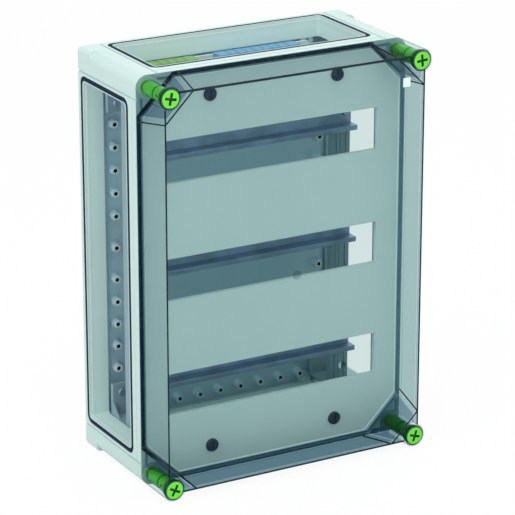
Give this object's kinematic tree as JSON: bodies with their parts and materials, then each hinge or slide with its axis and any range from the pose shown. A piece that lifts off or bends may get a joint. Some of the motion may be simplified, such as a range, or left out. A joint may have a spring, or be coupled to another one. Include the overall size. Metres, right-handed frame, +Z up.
{
  "type": "distribution cabinet",
  "caption": "Wall-mounted modular distribution cabinet: moulded case with open flange windows, clear lid with captive screws, inner contact plate, DIN rails and terminal strips.",
  "frame": {"origin": "below the middle of the whole cabinet, at the level of its lower flange", "axes": "+X to the right seen from the front, +Y from the lid towards the wall, +Z up"},
  "size_m": [0.314, 0.1806, 0.439],
  "materials": {
    "case_grey": "fine matt moulded plastic",
    "plate_grey": "fine matt moulded plastic",
    "seal_dark": "soft foam seal",
    "clear_smoke": "clear moulded plastic with a light smoke tint",
    "label_white": "blank printed film",
    "screw_lime": "semi-gloss moulded plastic",
    "lock_navy": "semi-gloss moulded plastic",
    "zinc_steel": "zinc plated",
    "screw_steel": "zinc plated",
    "brass": "turned brass",
    "terminal_green": "moulded plastic",
    "terminal_blue": "moulded plastic"
  },
  "bodies": {
    "case": {"base": "case_grey", "seal_left": "seal_dark", "seal_right": "seal_dark", "seal_top": "seal_dark", "seal_bottom": "seal_dark", "cover_seal": "seal_dark", "screw_bushes": "brass", "din_rail_top": "zinc_steel", "din_rail_middle": "zinc_steel", "din_rail_bottom": "zinc_steel", "rail_support_left": "case_grey", "rail_support_right": "case_grey", "rail_screws": "zinc_steel", "support_screws": "zinc_steel", "carrier_screws": "zinc_steel", "terminal_carrier": "plate_grey", "earth_terminal": "terminal_green", "neutral_terminal": "terminal_blue", "earth_bar": "brass", "neutral_bar": "brass", "earth_clamp_screws": "screw_steel", "neutral_clamp_screws": "screw_steel"},
    "lid": {"cover": "clear_smoke", "cover_label": "label_white"},
    "inner_plate": {"contact_plate": "plate_grey"},
    "lid_screw_top_left": {"cover_screw_top_left": "screw_lime"},
    "lock_top_left": {"plate_lock_top_left": "lock_navy"},
    "lid_screw_top_right": {"cover_screw_top_right": "screw_lime"},
    "lock_top_right": {"plate_lock_top_right": "lock_navy"},
    "lid_screw_bottom_left": {"cover_screw_bottom_left": "screw_lime"},
    "lock_bottom_left": {"plate_lock_bottom_left": "lock_navy"},
    "lid_screw_bottom_right": {"cover_screw_bottom_right": "screw_lime"},
    "lock_bottom_right": {"plate_lock_bottom_right": "lock_navy"}
  },
  "joints": [
    {"name": "lid_lift_off", "type": "slide", "parent": "case", "child": "lid", "axis": [0, -1, 0], "range_m": [0, 0.12]},
    {"name": "plate_lift_off", "type": "slide", "parent": "case", "child": "inner_plate", "axis": [0, -1, 0], "range_m": [0, 0.06]},
    {"name": "turn_screw_top_left", "type": "hinge", "parent": "lid", "child": "lid_screw_top_left", "pos_m": [-0.1445, -0.08775, 0.4265], "axis": [0, -1, 0], "range_deg": [0, 90]},
    {"name": "turn_screw_top_right", "type": "hinge", "parent": "lid", "child": "lid_screw_top_right", "pos_m": [0.1445, -0.08775, 0.4265], "axis": [0, -1, 0], "range_deg": [0, 90]},
    {"name": "turn_screw_bottom_left", "type": "hinge", "parent": "lid", "child": "lid_screw_bottom_left", "pos_m": [-0.1445, -0.08775, 0.0125], "axis": [0, -1, 0], "range_deg": [0, 90]},
    {"name": "turn_screw_bottom_right", "type": "hinge", "parent": "lid", "child": "lid_screw_bottom_right", "pos_m": [0.1445, -0.08775, 0.0125], "axis": [0, -1, 0], "range_deg": [0, 90]},
    {"name": "turn_lock_top_left", "type": "hinge", "parent": "inner_plate", "child": "lock_top_left", "pos_m": [-0.074, -0.03875, 0.4095], "axis": [0, -1, 0], "range_deg": [0, 90]},
    {"name": "turn_lock_top_right", "type": "hinge", "parent": "inner_plate", "child": "lock_top_right", "pos_m": [0.074, -0.03875, 0.4095], "axis": [0, -1, 0], "range_deg": [0, 90]},
    {"name": "turn_lock_bottom_left", "type": "hinge", "parent": "inner_plate", "child": "lock_bottom_left", "pos_m": [-0.074, -0.03875, 0.0295], "axis": [0, -1, 0], "range_deg": [0, 90]},
    {"name": "turn_lock_bottom_right", "type": "hinge", "parent": "inner_plate", "child": "lock_bottom_right", "pos_m": [0.074, -0.03875, 0.0295], "axis": [0, -1, 0], "range_deg": [0, 90]}
  ],
  "couplings": [
    {"joint": "plate_lift_off", "follows": "lid_lift_off", "ratio": 0.5}
  ]
}
